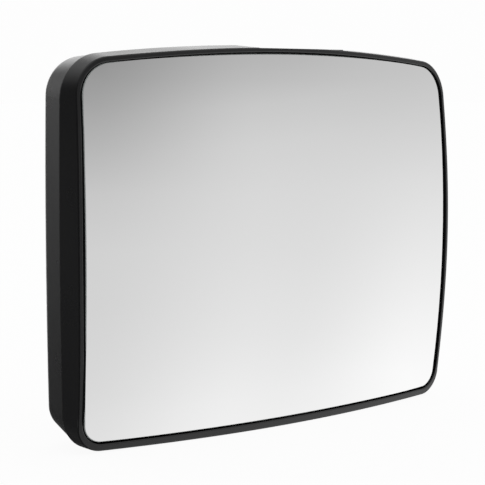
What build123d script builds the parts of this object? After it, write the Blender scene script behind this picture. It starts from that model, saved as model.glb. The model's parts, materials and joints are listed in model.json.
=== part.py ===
from build123d import *
import os

# Convex wide-angle mirror head for a tubular arm. Millimetres.
# Origin: centre of the arm clamp's bore. +Z runs up along the arm and the glass faces -Y.

# Dome: the rim and the glass share one spherical curvature.
dome_radius = 709.0
apex_y = -43.0

# Outlines: half width, half height, radii of the bowed sides, top and bottom,
# radii of the top and bottom corners, and how far the outline is raised.
front_size = (124.8, 97.5, 670.0, 790.0, 6000.0, 16.5, 4.5, -0.4)
lip_size = (123.0, 94.45, 670.0, 790.0, 6000.0, 15.5, 6.0, 0.65)
crease_size = (128.4, 98.45, 4000.0, 1070.0, 7690.0, 22.5, 17.5, 0.75)
rear_size = (122.7, 94.4, 4000.0, 1083.0, 7687.0, 19.5, 12.5, 3.1)
glass_size = (122.3, 93.9, 2075.0, 1082.0, 7686.0, 16.7, 9.5, 0.6)
step_in = 0.6

# Depths along Y.
crease_y = apex_y + 24.8
seal_thickness = 0.5
parting_y = crease_y + seal_thickness
rear_edge_y = apex_y + 45.0
back_y = 9.0
spine_y = 16.5

# Housing walls and rounds.
frame_wall = 3.0
shell_wall = 2.5
rim_outer_round = 0.8
rim_inner_round = 0.45
crease_round = 0.4
back_round = 11.0
joint_gap = 0.15
tongue_length = 1.9
tongue_wall = 1.6
corner_room = 1.7
corner_room_x = 68.0
corner_room_z = 70.0
corner_room_y = (-24.5, -11.0)
relief_x = (-21.0, 75.0)
relief_floor = 97.3
relief_pad_x = (-23.0, 40.0)
relief_pad_z = (95.5, 97.4)

# Screws that join the housing halves.
frame_screw_x = 55.0
frame_screw_z = 78.0
tab_y = (-15.2, -12.7)
boss_seat_y = -6.0
boss_radius = 6.5
counterbore_radius = 4.3
frame_screw_radius = 2.0
frame_screw_clear = 2.2
rib_x = 88.0
rib_z = 55.0
rib_front_y = -6.0
seam = 0.2

# Limits that lie outside every piece.
beyond = 140.0
full_span = (-beyond, beyond)
past_back = spine_y + 5

# Glass and what carries it.
glass_recess = 0.9
glass_thickness = 2.2
pad_thickness = 0.8
holder_thickness = 2.0
holder_inset = 2.5
pad_inset = 4.9
glass_edge_chamfer = 0.35

# Arm clamp and its bracket.
arm_radius = 11.0
bush_radius = 12.95
groove_radius = 13.0
bush_flange_radius = 15.0
saddle_half_x = 31.0
saddle_half_z = 25.0
half_gap = 0.75
cap_radius = 18.0
cap_ear_y = 10.75
clamp_screw_x = 24.0
clamp_screw_z = 15.0
flange_y = (-18.5, -16.0)
channel_half_x = 17.0
channel_floor_y = flange_y[1] + shell_wall
pocket_half_x = 40.0
pocket_half_z = 34.0
tray_screw_x = 35.0
tray_screw_z = 30.0
side_screw_x = 58.0
side_screw_z = 22.0
tray_screw_radius = 2.0
tray_screw_clear = 2.2

# Two-axis pivot behind the glass.
pivot_y = -27.0
pin_radius = 1.5
running_radius = 1.55
ring_inner = 23.0
ring_outer = 30.0
ring_y = (-30.5, -23.5)
ear_span = (31.0, 35.0)
ear_half_width = 5.0
pivot_plate_y = (-21.0, flange_y[0])
pivot_screw_offset = 12.0
adapter_y = (-35.0, -33.0)
adapter_screw_x = 40.0
adapter_screw_z = 13.0

os.makedirs("parts", exist_ok=True)


def facing(y, lift=0.0):
    """Plane at depth y that faces the front, with local Y pointing up."""
    return Plane(origin=(0, y, lift), x_dir=(1, 0, 0), z_dir=(0, -1, 0))


def finish(piece, label):
    """Name a finished piece and write it."""
    piece.part.label = label
    export_step(piece.part, f"parts/{label}.step")


def outline(y, size, grow=0.0):
    """Rounded rectangle with four bowed sides at depth y, offset outwards by grow."""
    half_width, half_height, side_radius, top_radius, bottom_radius, top_corner, bottom_corner, lift = size
    side = half_width - side_radius
    with BuildSketch(facing(y, lift), mode=Mode.PRIVATE) as shape:
        with Locations((0, half_height - top_radius)):
            Circle(top_radius + grow)
        with Locations((0, bottom_radius - half_height)):
            Circle(bottom_radius + grow, mode=Mode.INTERSECT)
        for centre, turn in ((side, 180), (-side, 0)):
            with Locations(Location((centre, 0, 0), (0, 0, turn))):
                Circle(side_radius + grow, mode=Mode.INTERSECT)
        fillet(shape.vertices().group_by(Axis.Y)[-1], top_corner + grow)
        fillet(shape.vertices().group_by(Axis.Y)[0], max(bottom_corner + grow, 1.0))
    return shape.sketch


def between(near, far, share):
    """Outline a share of the way from one outline to another."""
    return tuple(a + (b - a) * share for a, b in zip(near, far))


def front_body(size, wall):
    """Solid between an outline at the front and the crease's outline, inset there by wall."""
    with BuildPart(mode=Mode.PRIVATE) as body:
        add(outline(apex_y, size).faces())
        add(outline(crease_y, crease_size, -wall).faces())
        loft(ruled=True)
    return body.part


def rear_body(wall, front, rear):
    """Solid inside the rear shell's tapered side, inset by wall, between two depths."""
    with BuildPart(mode=Mode.PRIVATE) as body:
        for y in (front, rear):
            run = (y - parting_y) / (rear_edge_y - parting_y)
            inset = wall + step_in * (1 - run)
            add(outline(y, between(crease_size, rear_size, run), -inset).faces())
        loft(ruled=True)
    return body.part


def straight_body(size, inset, front, rear):
    """Straight-sided solid on an outline, inset from it, between two depths."""
    with BuildPart(mode=Mode.PRIVATE) as body:
        add(outline(rear, size, -inset).faces())
        extrude(amount=rear - front, dir=(0, -1, 0))
    return body.part


def block(x, y, z):
    """Plain block between the given pairs of limits."""
    with BuildPart(mode=Mode.PRIVATE) as body:
        with BuildSketch(facing(y[1])):
            with Locations(((x[0] + x[1]) / 2, (z[0] + z[1]) / 2)):
                Rectangle(x[1] - x[0], z[1] - z[0])
        extrude(amount=y[1] - y[0])
    return body.part


def plate(half_x, half_z, y, corner, lift=0.0):
    """Centred plate with rounded corners between two depths."""
    with BuildPart(mode=Mode.PRIVATE) as body:
        with BuildSketch(facing(y[1], lift)):
            RectangleRounded(2 * half_x, 2 * half_z, corner)
        extrude(amount=y[1] - y[0])
    return body.part


def tube_at(points, y, radius, hole=0.0):
    """Cylinders, or tubes if hole is given, along Y at the given points of the front view."""
    with BuildPart(mode=Mode.PRIVATE) as body:
        with BuildSketch(facing(y[1])):
            with Locations(*points):
                Circle(radius)
                if hole:
                    Circle(hole, mode=Mode.SUBTRACT)
        extrude(amount=y[1] - y[0])
    return body.part


def pair_along(axis_plane, span, radius, hole=0.0):
    """Two opposite cylinders or washers on an axis, each between the two distances of span."""
    with BuildPart(mode=Mode.PRIVATE) as body:
        with BuildSketch(axis_plane.offset(span[0])):
            Circle(radius)
            if hole:
                Circle(hole, mode=Mode.SUBTRACT)
        extrude(amount=span[1] - span[0])
        with BuildSketch(axis_plane.offset(-span[1])):
            Circle(radius)
            if hole:
                Circle(hole, mode=Mode.SUBTRACT)
        extrude(amount=span[1] - span[0])
    return body.part


def corners(half_x, half_z):
    """Corners of a centred rectangle in the front view."""
    return [(side * half_x, end * half_z) for side in (-1, 1) for end in (-1, 1)]


def dome(depth):
    """Ball whose front face lies at the given depth behind the glass's face."""
    with BuildPart(mode=Mode.PRIVATE) as ball:
        with Locations((0, apex_y + glass_recess + dome_radius, 0)):
            Sphere(dome_radius - depth)
    return ball.part


def relief():
    """Cutter that flattens the crown of the housing, from beside the arm channel to the right."""
    corner = 2.5
    height = 8.0
    with BuildPart(mode=Mode.PRIVATE) as cutter:
        with BuildSketch(facing(back_y + 20)) as shape:
            with Locations(((relief_x[0] + relief_x[1]) / 2, relief_floor + height / 2)):
                Rectangle(relief_x[1] - relief_x[0], height)
            fillet(shape.vertices().group_by(Axis.Y)[0], corner)
        extrude(amount=back_y + 20 - apex_y + 5)
    return cutter.part


def glass_room():
    """Cutter that gives the glass's corners room to swing back inside the housing."""
    with BuildPart(mode=Mode.PRIVATE) as cutter:
        for x in ((-beyond, -corner_room_x), (corner_room_x, beyond)):
            for z in ((-beyond, -corner_room_z), (corner_room_z, beyond)):
                add(block(x, corner_room_y, z))
        add(straight_body(glass_size, -corner_room, *corner_room_y), mode=Mode.INTERSECT)
    return cutter.part


pan_axis = Plane(origin=(0, pivot_y, 0), x_dir=(1, 0, 0), z_dir=(0, 0, 1))
tilt_axis = Plane(origin=(0, pivot_y, 0), x_dir=(0, 1, 0), z_dir=(1, 0, 0))
frame_screws_at = corners(frame_screw_x, frame_screw_z)
tray_screws_at = corners(tray_screw_x, tray_screw_z)
side_screws_at = corners(side_screw_x, side_screw_z)
clamp_screws_at = corners(clamp_screw_x, clamp_screw_z)
pivot_screws_at = corners(pivot_screw_offset, pivot_screw_offset)
adapter_screws_at = corners(adapter_screw_x, adapter_screw_z)

# Front frame: flared ring whose front face follows the dome, with a tongue and four screw tabs.
tongue_rear = crease_y + tongue_length
tongue_inset = shell_wall + joint_gap
throat_inset = tongue_inset + tongue_wall
flange_thickness = 2.0
flange_inset = 1.0
tab_half_width = 6.0
tab_reach = frame_screw_z - tab_half_width
web_z = 91.5
with BuildPart() as tongue_form:
    add(rear_body(tongue_inset, crease_y, tab_y[1]))
with BuildPart() as tongue:
    add(tongue_form.part)
    add(block(full_span, (tongue_rear, past_back), full_span), mode=Mode.SUBTRACT)
    add(rear_body(throat_inset, crease_y, tab_y[1]), mode=Mode.SUBTRACT)
with BuildPart() as tabs:
    for side, end in corners(1, 1):
        tab_x = (side * frame_screw_x - tab_half_width, side * frame_screw_x + tab_half_width)
        add(block(tab_x, (crease_y, tab_y[1]), sorted((end * web_z, end * beyond))))
        add(block(tab_x, tab_y, sorted((end * tab_reach, end * beyond))))
    add(tongue_form.part, mode=Mode.INTERSECT)
with BuildPart() as front_frame:
    add(front_body(front_size, 0))
    with Locations((0, apex_y + dome_radius, 0)):
        Sphere(dome_radius, mode=Mode.INTERSECT)
    fillet(front_frame.faces().sort_by(Axis.Y)[0].edges(), rim_outer_round)
    fillet(front_frame.faces().sort_by(Axis.Y)[-1].edges(), crease_round)
    add(front_body(lip_size, frame_wall), mode=Mode.SUBTRACT)
    rim_face = front_frame.faces().filter_by(GeomType.SPHERE).sort_by(SortBy.AREA)[-1]
    fillet(rim_face.inner_wires().edges(), rim_inner_round)
    add(block(relief_pad_x, (apex_y + 8.5, crease_y), relief_pad_z))
    add(straight_body(crease_size, flange_inset, crease_y - flange_thickness, crease_y))
    add(straight_body(crease_size, step_in + throat_inset, apex_y + 5, crease_y + 1), mode=Mode.SUBTRACT)
    add(tongue.part)
    add(tabs.part)
    add(tube_at(frame_screws_at, tab_y, frame_screw_radius), mode=Mode.SUBTRACT)
    add(glass_room(), mode=Mode.SUBTRACT)
    add(relief(), mode=Mode.SUBTRACT)
finish(front_frame, "front_frame")

# Frame seal: flat ring pinched at the parting line, set back from the outside.
seal_inset = 2 * step_in
seal_width = 1.7
with BuildPart() as frame_seal:
    add(straight_body(crease_size, seal_inset, crease_y, parting_y))
    add(straight_body(crease_size, seal_inset + seal_width, crease_y - 1, parting_y + 1), mode=Mode.SUBTRACT)
    add(glass_room(), mode=Mode.SUBTRACT)
    add(relief(), mode=Mode.SUBTRACT)
finish(frame_seal, "frame_seal")

# Rear of the housing: tapered form with a raised spine, cut by the arm channel and the clamp pocket.
# It is made in three mouldings: a left and a right shell, and between them the arm tray.
spine_lift = 4.0
spine_base = (51.0, 80.0, 14.0)
spine_top = (47.0, 76.0, 11.0)
spine_round = 3.0


def spine_body(inset):
    """Raised pad on the back of the housing, inset by inset."""
    with BuildPart(mode=Mode.PRIVATE) as body:
        for y, size in ((back_y - 4, spine_base), (spine_y - inset, spine_top)):
            half_x, half_z, corner = size
            with BuildSketch(facing(y, spine_lift)):
                RectangleRounded(2 * (half_x - inset), 2 * (half_z - inset), corner - inset)
        loft(ruled=True)
        fillet(body.faces().sort_by(Axis.Y)[-1].edges(), spine_round - 0.5 * inset)
    return body.part


def tray_zone(grow):
    """Everything that belongs to the arm tray: the channel's strip and the pocket's rectangle."""
    half_x = channel_half_x + shell_wall + grow
    with BuildPart(mode=Mode.PRIVATE) as body:
        add(block((-half_x, half_x), (parting_y - 1, past_back), full_span))
        pocket = (pocket_half_x + shell_wall + grow, pocket_half_z + shell_wall + grow)
        add(plate(*pocket, (parting_y - 1, past_back), 6))
    return body.part


with BuildPart() as back_form:
    add(rear_body(0, parting_y, back_y))
    fillet(back_form.faces().sort_by(Axis.Y)[-1].edges(), back_round)
    fillet(back_form.faces().sort_by(Axis.Y)[0].edges(), crease_round)
    add(spine_body(0))
with BuildPart() as back_room:
    add(rear_body(shell_wall, parting_y, back_y - shell_wall))
    fillet(back_room.faces().sort_by(Axis.Y)[-1].edges(), back_round - shell_wall)
    add(spine_body(shell_wall))
with BuildPart() as back_skin:
    add(back_form.part)
    add(back_room.part, mode=Mode.SUBTRACT)
    add(glass_room(), mode=Mode.SUBTRACT)
    add(relief(), mode=Mode.SUBTRACT)

channel_x = (-channel_half_x, channel_half_x)
lip_x = (channel_x[0] - shell_wall, channel_x[1] + shell_wall)
with BuildPart() as tray_lips:
    add(back_skin.part)
    add(block(lip_x, (parting_y, flange_y[1]), full_span), mode=Mode.INTERSECT)
with BuildPart() as arm_tray:
    add(tray_zone(0))
    add(block(full_span, (parting_y - 2, flange_y[1]), full_span), mode=Mode.SUBTRACT)
    add(back_form.part, mode=Mode.INTERSECT)
    add(tray_lips.part)
    add(block(channel_x, (channel_floor_y, past_back), full_span), mode=Mode.SUBTRACT)
    add(plate(pocket_half_x, pocket_half_z, (channel_floor_y, past_back), 4), mode=Mode.SUBTRACT)
    window = (saddle_half_x + 1, saddle_half_z + 2.5)
    add(plate(*window, (flange_y[0], past_back), 4), mode=Mode.SUBTRACT)
    add(tube_at(tray_screws_at, (flange_y[0], past_back), tray_screw_clear), mode=Mode.SUBTRACT)
    add(relief(), mode=Mode.SUBTRACT)
finish(arm_tray, "arm_tray")

for side, label in ((-1, "rear_shell_left"), (1, "rear_shell_right")):
    half = sorted((0, side * 2 * beyond))
    with BuildPart() as bosses:
        add(tube_at(frame_screws_at, (tab_y[1] + joint_gap, back_y), boss_radius))
        add(tube_at(side_screws_at, (flange_y[1], back_y), boss_radius))
        add(block((side * rib_x - 1, side * rib_x + 1), (rib_front_y, back_y), full_span))
        for z in (-rib_z, rib_z):
            add(block(full_span, (rib_front_y, back_y), (z - 1, z + 1)))
        add(back_form.part, mode=Mode.INTERSECT)
    with BuildPart() as rear_shell:
        add(back_skin.part)
        add(bosses.part)
        add(block(half, (parting_y - 1, past_back), full_span), mode=Mode.INTERSECT)
        add(tray_zone(seam), mode=Mode.SUBTRACT)
        for points in (frame_screws_at, side_screws_at):
            add(tube_at(points, (flange_y[0], past_back), frame_screw_clear), mode=Mode.SUBTRACT)
            add(tube_at(points, (boss_seat_y, past_back), counterbore_radius), mode=Mode.SUBTRACT)
    finish(rear_shell, label)

# Arm bracket: cast flange in front of the shell with the saddle block of the arm clamp.
clamp_screw_radius = 3.0
clamp_screw_clear = 3.3
with BuildPart() as arm_bracket:
    add(plate(42, 37, flange_y, 5))
    add(plate(side_screw_x + 6, side_screw_z + 8, flange_y, 5))
    add(plate(saddle_half_x, saddle_half_z, (flange_y[1], -half_gap), 3))
    with BuildSketch(Plane.XY.offset(-saddle_half_z - 1)):
        Circle(groove_radius)
    extrude(amount=2 * saddle_half_z + 2, mode=Mode.SUBTRACT)
    tapped = tray_screws_at + side_screws_at
    add(tube_at(tapped, (flange_y[0] - 1, flange_y[1] + 1), tray_screw_radius), mode=Mode.SUBTRACT)
    add(tube_at(pivot_screws_at, (flange_y[0] - 1, -10.5), 1.7), mode=Mode.SUBTRACT)
    add(tube_at(clamp_screws_at, (-14, half_gap), clamp_screw_radius), mode=Mode.SUBTRACT)
finish(arm_bracket, "arm_bracket")

# Clamp cap: arched cap with an ear along each side.
with BuildPart() as clamp_cap:
    with BuildSketch(Plane.XY.offset(-saddle_half_z)):
        Circle(cap_radius)
        with Locations((0, (half_gap + cap_ear_y) / 2)):
            Rectangle(2 * saddle_half_x, cap_ear_y - half_gap)
    extrude(amount=2 * saddle_half_z)
    fillet(clamp_cap.edges().filter_by(Axis.Z).group_by(Axis.Y)[-1], 2)
    add(block((-50, 50), (-50, half_gap), (-50, 50)), mode=Mode.SUBTRACT)
    with BuildSketch(Plane.XY.offset(-saddle_half_z - 1)):
        Circle(groove_radius)
    extrude(amount=2 * saddle_half_z + 2, mode=Mode.SUBTRACT)
    add(tube_at(clamp_screws_at, (0, cap_ear_y + 1), clamp_screw_clear), mode=Mode.SUBTRACT)
finish(clamp_cap, "clamp_cap")

# Clamp washers and socket-head clamp screws.
washer_thickness = 1.6
washer_back_y = cap_ear_y + washer_thickness
with BuildPart() as clamp_washers:
    add(tube_at(clamp_screws_at, (cap_ear_y, washer_back_y), 6.0, clamp_screw_clear))
finish(clamp_washers, "clamp_washers")

with BuildPart() as clamp_screws:
    add(tube_at(clamp_screws_at, (-12, washer_back_y), clamp_screw_radius))
    add(tube_at(clamp_screws_at, (washer_back_y, washer_back_y + 6), 5.0))
    chamfer(clamp_screws.faces().group_by(Axis.Y)[-1].edges(), 0.6)
    with BuildSketch(facing(washer_back_y + 6)):
        with Locations(*clamp_screws_at):
            RegularPolygon(2.5, 6, major_radius=False)
    extrude(amount=3, mode=Mode.SUBTRACT)
finish(clamp_screws, "clamp_screws")

# Arm bush: slit sleeve with a flange at each end.
bush_end = saddle_half_z + 0.1
bush_flange = 1.5
slit = 2.0
with BuildPart() as arm_bush:
    with BuildSketch(Plane.XY.offset(-bush_end - bush_flange)):
        Circle(bush_radius)
    extrude(amount=2 * (bush_end + bush_flange))
    for z in (-bush_end - bush_flange, bush_end):
        with BuildSketch(Plane.XY.offset(z)):
            Circle(bush_flange_radius)
        extrude(amount=bush_flange)
    with BuildSketch(Plane.XY.offset(-bush_end - bush_flange)):
        Circle(arm_radius)
    extrude(amount=2 * (bush_end + bush_flange), mode=Mode.SUBTRACT)
    add(block((0, 20), (-slit / 2, slit / 2), (-50, 50)), mode=Mode.SUBTRACT)
finish(arm_bush, "arm_bush")

# Screws that hold the shell to the bracket and the housing halves together.


def pan_screws(points, seat_y, tip_y, radius, head_radius, head_height):
    """Round-headed cross-recess screws along Y whose heads sit on seat_y and point to the back."""
    with BuildPart(mode=Mode.PRIVATE) as body:
        add(tube_at(points, (tip_y, seat_y), radius))
        add(tube_at(points, (seat_y, seat_y + head_height), head_radius))
        fillet(body.faces().group_by(Axis.Y)[-1].edges(), 0.45 * head_height)
        with BuildSketch(facing(seat_y + head_height)):
            with Locations(*points):
                Rectangle(head_radius, 0.26 * head_radius)
                Rectangle(0.26 * head_radius, head_radius)
        extrude(amount=0.6 * head_height, mode=Mode.SUBTRACT)
    return body.part


with BuildPart() as tray_screws:
    add(pan_screws(tray_screws_at, channel_floor_y, flange_y[0], tray_screw_radius, 3.6, 2.4))
finish(tray_screws, "tray_screws")

with BuildPart() as frame_screws:
    add(pan_screws(frame_screws_at, boss_seat_y, tab_y[0], frame_screw_radius, 3.8, 2.6))
finish(frame_screws, "frame_screws")

with BuildPart() as side_screws:
    add(pan_screws(side_screws_at, boss_seat_y, flange_y[0], frame_screw_radius, 3.8, 2.6))
finish(side_screws, "side_screws")

# Pivot base: plate on the bracket with an ear above and below for the pan pins.
ear_front_y = pivot_y - 4
with BuildPart() as pivot_base:
    add(plate(22, 36, pivot_plate_y, 4))
    for z in (ear_span[0], -ear_span[1]):
        ear_z = (z, z + ear_span[1] - ear_span[0])
        add(block((-ear_half_width, ear_half_width), (ear_front_y, pivot_plate_y[0]), ear_z))
    fillet(pivot_base.edges().filter_by(Axis.Z).group_by(Axis.Y)[0], 3)
    add(pair_along(pan_axis, (ear_span[0] - 1, ear_span[1] + 2), pin_radius), mode=Mode.SUBTRACT)
    with Locations(facing(pivot_plate_y[0])):
        with Locations(*pivot_screws_at):
            CounterSinkHole(1.7, 3.2, depth=5)
finish(pivot_base, "pivot_base")

# Countersunk screws, flush with the pivot base.
sink_height = 1.72
with BuildPart() as pivot_base_screws:
    add(tube_at(pivot_screws_at, (pivot_plate_y[0] + sink_height / 2, -11.5), 1.7))
    with Locations(facing(pivot_plate_y[0])):
        with Locations(*pivot_screws_at):
            Cone(1.7, 3.2, sink_height, align=(Align.CENTER, Align.CENTER, Align.MAX))
    with BuildSketch(facing(pivot_plate_y[0] + 0.9)):
        with Locations(*pivot_screws_at):
            Rectangle(3.2, 0.8)
            Rectangle(0.8, 3.2)
    extrude(amount=2, mode=Mode.SUBTRACT)
finish(pivot_base_screws, "pivot_base_screws")

# Gimbal ring with its two pan pins (vertical) and two tilt pins (horizontal).
washer_span = (ring_outer + 0.05, ear_span[0] - 0.05)
with BuildPart() as gimbal_ring:
    with BuildSketch(facing(ring_y[1])):
        Circle(ring_outer)
        Circle(ring_inner, mode=Mode.SUBTRACT)
    extrude(amount=ring_y[1] - ring_y[0])
    chamfer(gimbal_ring.edges(), 0.6)
    add(pair_along(pan_axis, (ring_inner - 2, ring_outer + 2), running_radius), mode=Mode.SUBTRACT)
    add(pair_along(tilt_axis, (ring_inner - 2, ring_outer + 2), pin_radius), mode=Mode.SUBTRACT)
finish(gimbal_ring, "gimbal_ring")

pin_span = (ring_inner + 1.5, ear_span[1])
for label, axis_plane in (("pan", pan_axis), ("tilt", tilt_axis)):
    with BuildPart() as pins:
        add(pair_along(axis_plane, pin_span, pin_radius))
    finish(pins, f"{label}_pins")
    with BuildPart() as washers:
        add(pair_along(axis_plane, washer_span, 4.0, 1.6))
    finish(washers, f"{label}_washers")

# Adapter plate: carries the glass holder, with an ear at each side for the tilt pins.
with BuildPart() as adapter_plate:
    add(plate(44, 18, adapter_y, 4))
    for x in (ear_span[0], -ear_span[1]):
        ear_x = (x, x + ear_span[1] - ear_span[0])
        add(block(ear_x, (adapter_y[1], pivot_y + 4), (-ear_half_width, ear_half_width)))
    fillet(adapter_plate.edges().filter_by(Axis.X).group_by(Axis.Y)[-1], 3)
    add(pair_along(tilt_axis, (ear_span[0] - 1, ear_span[1] + 1), running_radius), mode=Mode.SUBTRACT)
    add(tube_at(adapter_screws_at, (adapter_y[0] - 1, adapter_y[1] + 1), 1.7), mode=Mode.SUBTRACT)
    add(tube_at([(0, 0)], (adapter_y[0] - 1, adapter_y[1] + 1), 12), mode=Mode.SUBTRACT)
finish(adapter_plate, "adapter_plate")

adapter_tip_y = -37.2
with BuildPart() as adapter_screws:
    add(pan_screws(adapter_screws_at, adapter_y[1], adapter_tip_y, pin_radius, 3.0, 1.8))
finish(adapter_screws, "adapter_screws")


def dome_sheet(inset, near, far):
    """Sheet between two depths behind the glass's face, inset from the glass's outline."""
    with BuildPart(mode=Mode.PRIVATE) as sheet:
        add(straight_body(glass_size, inset, apex_y - 5, apex_y + 30))
        add(dome(near), mode=Mode.INTERSECT)
        add(dome(far), mode=Mode.SUBTRACT)
    return sheet.part


# Glass, its adhesive pad and the moulded holder with its boss and ribs.
pad_depth = glass_thickness
holder_depth = pad_depth + pad_thickness
holder_back = holder_depth + holder_thickness
rib_back = holder_back + 2.0
with BuildPart() as mirror_glass:
    add(dome_sheet(0, 0, glass_thickness))
    edges = mirror_glass.faces().filter_by(GeomType.SPHERE).sort_by(Axis.Y)[0].edges()
    chamfer(edges, glass_edge_chamfer)
finish(mirror_glass, "mirror_glass")

with BuildPart() as adhesive_pad:
    add(dome_sheet(pad_inset, pad_depth, holder_depth))
finish(adhesive_pad, "adhesive_pad")

with BuildPart() as holder_boss:
    add(plate(46, 20, (apex_y, adapter_y[0]), 5))
    add(dome(holder_depth + 1), mode=Mode.INTERSECT)
with BuildPart() as holder_ribs:
    for x in (-90, -62, 62, 90):
        add(block((x - 0.8, x + 0.8), (apex_y, apex_y + 40), full_span))
    for z in (-50, 50):
        add(block(full_span, (apex_y, apex_y + 40), (z - 0.8, z + 0.8)))
    add(dome_sheet(holder_inset + 10, holder_back - 1, rib_back), mode=Mode.INTERSECT)
with BuildPart() as glass_holder:
    add(dome_sheet(holder_inset, holder_depth, holder_back))
    add(holder_ribs.part)
    add(holder_boss.part)
    add(tube_at(adapter_screws_at, (adapter_tip_y, adapter_y[0] + 1), pin_radius), mode=Mode.SUBTRACT)
finish(glass_holder, "glass_holder")
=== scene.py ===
import json
import math

import bpy
from mathutils import Euler, Matrix, Vector


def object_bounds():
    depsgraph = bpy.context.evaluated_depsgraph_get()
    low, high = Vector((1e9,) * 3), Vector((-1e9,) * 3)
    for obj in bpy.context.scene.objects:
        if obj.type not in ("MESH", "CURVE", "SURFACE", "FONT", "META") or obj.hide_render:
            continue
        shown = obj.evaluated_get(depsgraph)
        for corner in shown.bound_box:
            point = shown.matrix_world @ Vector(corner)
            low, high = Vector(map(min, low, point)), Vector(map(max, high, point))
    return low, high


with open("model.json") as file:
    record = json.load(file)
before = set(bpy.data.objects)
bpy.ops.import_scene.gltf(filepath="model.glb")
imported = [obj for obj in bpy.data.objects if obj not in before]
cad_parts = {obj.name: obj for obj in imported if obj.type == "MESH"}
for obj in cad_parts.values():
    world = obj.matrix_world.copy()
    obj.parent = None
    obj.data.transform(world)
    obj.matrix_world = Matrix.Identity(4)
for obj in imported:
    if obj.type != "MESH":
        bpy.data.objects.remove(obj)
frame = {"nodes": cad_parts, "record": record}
cad_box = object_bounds()
nodes = frame["nodes"]

# Convex wide-angle mirror head. Metres; the glass faces -Y and +Z is up.
floor_z = cad_box[0][2]

# Camera ------------------------------------------------------------------------------------
CAMERA_PLACE = Vector((-0.5425, -0.6459, 0.0788))  # from the arm clamp's centre
CAMERA_HEADING = math.radians(40.03)  # turned from +Y towards +X
CAMERA_DOWN = math.radians(5.67)
CAMERA_ROLL = 0.0025
CAMERA_LENS = 117.85
SENSOR_WIDTH = 36
NEAR_LIMIT = 0.01


def make_camera():
    data = bpy.data.cameras.new("camera")
    data.sensor_width = SENSOR_WIDTH
    data.lens = CAMERA_LENS
    data.clip_start = NEAR_LIMIT
    camera = bpy.data.objects.new("camera", data)
    camera.location = CAMERA_PLACE
    aim = Euler((math.pi / 2 - CAMERA_DOWN, 0, -CAMERA_HEADING)).to_matrix()
    camera.rotation_euler = (aim @ Matrix.Rotation(CAMERA_ROLL, 3, "Z")).to_euler()
    bpy.context.scene.collection.objects.link(camera)
    bpy.context.scene.camera = camera


make_camera()


# Node helpers ------------------------------------------------------------------------------
def put(tree, kind, inputs=None, **settings):
    """New node with its settings and inputs; an input that is a socket is linked."""
    node = tree.nodes.new(kind)
    for name, value in settings.items():
        setattr(node, name, value)
    for key, value in (inputs or {}).items():
        socket = node.inputs[key]
        if isinstance(value, bpy.types.NodeSocket):
            tree.links.new(value, socket)
        else:
            socket.default_value = value
    return node


def maths(tree, operation, a, b=0.0, c=0.0):
    return put(tree, "ShaderNodeMath", {0: a, 1: b, 2: c}, operation=operation).outputs[0]


def ramp(tree, factor, stops, mode):
    """Grey ramp through (position, level) stops."""
    node = put(tree, "ShaderNodeValToRGB", {0: factor})
    node.color_ramp.interpolation = mode
    elements = node.color_ramp.elements
    while len(elements) < len(stops):
        elements.new(1.0)
    for element, (position, level) in zip(elements, stops):
        element.position = position
        element.color = (level, level, level, 1)
    return node.outputs[0]


def blend(tree, factor, a, b):
    """Colour a where the factor is 0, b where it is 1."""
    node = put(tree, "ShaderNodeMix", data_type="RGBA")
    for socket, value in ((node.inputs[0], factor), (node.inputs[6], a), (node.inputs[7], b)):
        if isinstance(value, bpy.types.NodeSocket):
            tree.links.new(value, socket)
        else:
            socket.default_value = value
    return node.outputs[2]


# Studio ------------------------------------------------------------------------------------
BACKDROP = 0.985  # what the camera sees past the floor
CYCLORAMA = 1.5
RISE_RANGE = 60  # degrees above and below the horizon
TURN_RANGE = 180  # degrees each side of straight out from the glass


def grey(level):
    return (level, level, level, 1)


def spread_stops(stops, reach):
    """Turn (degrees, level) stops into ramp positions, 0 at -reach and 1 at +reach."""
    return [((degrees + reach) / (2 * reach), level) for degrees, level in stops]


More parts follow.
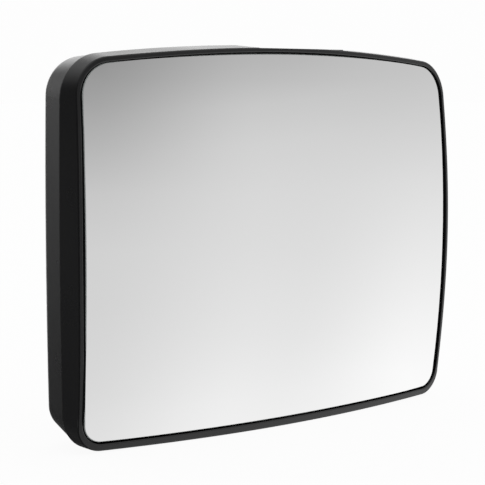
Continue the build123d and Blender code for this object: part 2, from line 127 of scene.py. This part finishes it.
def make_world():
    """White studio: a pale cyclorama round the right, and a soft grey gradient for the glass."""
    world = bpy.data.worlds.new("studio")
    bpy.context.scene.world = world
    world.use_nodes = True
    tree = world.node_tree
    tree.nodes.clear()
    place = put(tree, "ShaderNodeTexCoord")
    axes = put(tree, "ShaderNodeSeparateXYZ", {0: place.outputs["Generated"]})
    x, y, z = axes.outputs
    rise = maths(tree, "ARCSINE", z)
    rise = maths(tree, "MULTIPLY_ADD", rise, 0.5 / math.radians(RISE_RANGE), 0.5)
    heading = maths(tree, "ARCTAN2", x, maths(tree, "MULTIPLY", y, -1.0))
    turn = maths(tree, "MULTIPLY_ADD", heading, 0.5 / math.radians(TURN_RANGE), 0.5)

    def by_rise(stops):
        return ramp(tree, rise, spread_stops(stops, RISE_RANGE), "LINEAR")

    def by_turn(stops):
        return ramp(tree, turn, spread_stops(stops, TURN_RANGE), "EASE")

    # What the glass reflects: three columns of grey, each darkest some 15 degrees up.
    left = by_rise([
        (-30, 0.82), (-21, 0.73), (-12, 0.69), (-6, 0.68), (0, 0.61), (5, 0.49), (14, 0.28), (60, 0.6),
    ])
    middle = by_rise([
        (-26, 0.97), (-15, 0.84), (-6, 0.77), (-1, 0.74), (4, 0.69), (8, 0.62), (15, 0.4), (60, 0.8),
    ])
    right = by_rise([
        (-18, 1.03), (-13, 0.96), (-5, 0.84), (-1, 0.78), (3, 0.7), (9, 0.58), (20, 0.5), (60, 0.9),
    ])
    to_middle = by_turn([(12, 0.0), (38, 1.0)])
    to_right = by_turn([(42, 0.0), (66, 1.0)])
    front = blend(tree, to_right, blend(tree, to_middle, left, middle), right)

    # What the housing reflects: a dark flag, a screen behind on the left and the cyclorama.
    flag = by_turn([(-140, 0.11), (-90, 0.07), (-50, 0.02), (10, 0.02)])
    screen = by_rise([(-14, 0.05), (-8, 0.12), (-2, 0.32), (5, 0.6), (25, 0.9)])
    around = blend(tree, by_turn([(-176, 1.0), (-140, 0.0)]), flag, screen)
    cyclorama = by_turn([(14, 0.0), (60, 0.6), (110, 1.0), (158, 1.0), (178, 0.0)])
    cyclorama = maths(tree, "MULTIPLY", cyclorama, by_rise([(-18, 0.05), (-8, 1.0)]))
    around = blend(tree, cyclorama, around, grey(CYCLORAMA))

    ahead = by_turn([(7, 0.0), (15, 1.0), (72, 1.0), (104, 0.0)])
    shade = blend(tree, ahead, around, front)
    overhead = by_rise([(25, 0.0), (55, 1.0)])
    shade = blend(tree, overhead, shade, grey(1))
    seen = put(tree, "ShaderNodeLightPath").outputs["Is Camera Ray"]
    shade = blend(tree, seen, shade, grey(BACKDROP))
    back = put(tree, "ShaderNodeBackground", {0: shade, 1: 1.0})
    put(tree, "ShaderNodeOutputWorld", {0: back.outputs[0]})


FLOOR_HALF = 12.0
FLOOR_GLOW = 0.94


def make_floor():
    """Plain pale floor that glows, so that it stays even."""
    corners = [(-1, -1), (1, -1), (1, 1), (-1, 1)]
    points = [(FLOOR_HALF * x, FLOOR_HALF * y, floor_z) for x, y in corners]
    mesh = bpy.data.meshes.new("floor")
    mesh.from_pydata(points, [], [(0, 1, 2, 3)])
    floor = bpy.data.objects.new("floor", mesh)
    bpy.context.scene.collection.objects.link(floor)
    material = bpy.data.materials.new("floor_white")
    material.use_nodes = True
    shader = material.node_tree.nodes["Principled BSDF"]
    shader.inputs["Base Color"].default_value = grey(0.06)
    shader.inputs["Roughness"].default_value = 0.9
    shader.inputs["Specular IOR Level"].default_value = 0.0
    shader.inputs["Emission Color"].default_value = grey(1)
    shader.inputs["Emission Strength"].default_value = FLOOR_GLOW
    mesh.materials.append(material)
    floor.visible_glossy = False


make_world()
make_floor()
bpy.context.scene.view_settings.view_transform = "Standard"


# Materials ---------------------------------------------------------------------------------
def material(name, build):
    """Node material whose Principled shader is set up by build(tree, shader, place)."""
    made = bpy.data.materials.new(name)
    made.use_nodes = True
    tree = made.node_tree
    place = put(tree, "ShaderNodeTexCoord").outputs["Object"]
    build(tree, tree.nodes["Principled BSDF"], place)
    return made


def noise(tree, place, scale, detail=3.0, rough=0.5):
    inputs = {"Vector": place, "Scale": scale, "Detail": detail, "Roughness": rough}
    return put(tree, "ShaderNodeTexNoise", inputs).outputs[0]


def bump(tree, shader, height, distance):
    out = put(tree, "ShaderNodeBump", {"Height": height, "Distance": distance, "Strength": 1.0}).outputs[0]
    tree.links.new(out, shader.inputs["Normal"])


def spread(tree, value, low, high):
    """Map a noise value onto low..high."""
    return put(tree, "ShaderNodeMapRange", {0: value, 1: 0.3, 2: 0.7, 3: low, 4: high}).outputs[0]


def tint(tree, factor, dark, light):
    """Colour between two tones, given as red, green and blue."""
    return blend(tree, factor, (*dark, 1), (*light, 1))


def moulded(dark, light, roughness, grain=0.00002, grain_scale=2600.0):
    """Moulded plastic: fine spark-eroded grain, slow sheen changes and a little colour drift."""
    def build(tree, shader, place):
        slow = noise(tree, place, 22.0)
        fine = noise(tree, place, grain_scale, 2.0)
        link = tree.links.new
        link(tint(tree, slow, dark, light), shader.inputs["Base Color"])
        link(spread(tree, slow, roughness - 0.04, roughness + 0.05), shader.inputs["Roughness"])
        bump(tree, shader, fine, grain)

    return build


PITTING = 0.00003  # metres


def metal(dark, light, roughness, metallic=1.0, scale=900.0):
    """Plated or coated metal with a fine pitted skin."""
    def build(tree, shader, place):
        slow = noise(tree, place, 60.0, 4.0)
        fine = noise(tree, place, scale, 4.0)
        link = tree.links.new
        link(tint(tree, slow, dark, light), shader.inputs["Base Color"])
        link(spread(tree, fine, roughness - 0.07, roughness + 0.07), shader.inputs["Roughness"])
        shader.inputs["Metallic"].default_value = metallic
        bump(tree, shader, fine, PITTING)

    return build


SILVERED = -0.85  # a face's Normal Y under this is the silvered front
GROUND = -0.5  # and under this, the ground chamfer round it
PLAIN_ROUGHNESS = 0.3  # what the edge and the painted back have more than the silver


def mirror(tree, shader, place):
    """Silvered glass, with its ground edge and its painted back, told apart by the face's direction."""
    normal = put(tree, "ShaderNodeTexCoord").outputs["Normal"]
    y = put(tree, "ShaderNodeSeparateXYZ", {0: normal}).outputs[1]
    silver = maths(tree, "LESS_THAN", y, SILVERED)
    ground = maths(tree, "LESS_THAN", y, GROUND)
    dust = noise(tree, place, 420.0, 6.0, 0.7)
    smear = noise(tree, place, 9.0, 2.0)
    link = tree.links.new
    front = tint(tree, dust, (0.925, 0.925, 0.925), (0.935, 0.935, 0.935))
    edge = tint(tree, dust, (0.02, 0.024, 0.024), (0.05, 0.055, 0.055))
    edge = blend(tree, ground, edge, tint(tree, dust, (0.42, 0.45, 0.44), (0.56, 0.59, 0.58)))
    link(blend(tree, silver, edge, front), shader.inputs["Base Color"])
    link(silver, shader.inputs["Metallic"])
    polish = spread(tree, smear, 0.004, 0.012)
    plain = maths(tree, "MULTIPLY", maths(tree, "SUBTRACT", 1.0, silver), PLAIN_ROUGHNESS)
    link(maths(tree, "ADD", polish, plain), shader.inputs["Roughness"])


finishes = {
    "housing_plastic": moulded((0.0065, 0.0065, 0.007), (0.0095, 0.0095, 0.010), 0.28),
    "seal_rubber": moulded((0.008, 0.008, 0.008), (0.013, 0.013, 0.013), 0.7, 0.00004, 1500.0),
    "adhesive_foam": moulded((0.09, 0.09, 0.09), (0.14, 0.14, 0.135), 0.85, 0.0001, 900.0),
    "holder_plastic": moulded((0.012, 0.012, 0.012), (0.02, 0.02, 0.02), 0.45),
    "pivot_plastic": moulded((0.045, 0.045, 0.048), (0.07, 0.07, 0.073), 0.5),
    "friction_washer": moulded((0.66, 0.64, 0.58), (0.74, 0.72, 0.67), 0.42),
    "bush_nylon": moulded((0.02, 0.02, 0.02), (0.035, 0.035, 0.035), 0.5),
    "zinc_steel": metal((0.5, 0.51, 0.53), (0.66, 0.66, 0.64), 0.3),
    "cast_alloy": metal((0.012, 0.012, 0.013), (0.022, 0.022, 0.022), 0.5, 0.0, 700.0),
}
materials = {name: material(name, build) for name, build in finishes.items()}
materials["mirror_face"] = material("mirror_face", mirror)


def dress():
    """Give every CAD node the material of its slot in the record."""
    slots = {part["node"]: part["material_slot"] for part in frame["record"]["subparts"]}
    for name, piece in nodes.items():
        piece.data.materials.clear()
        piece.data.materials.append(materials[slots[name]])


dress()
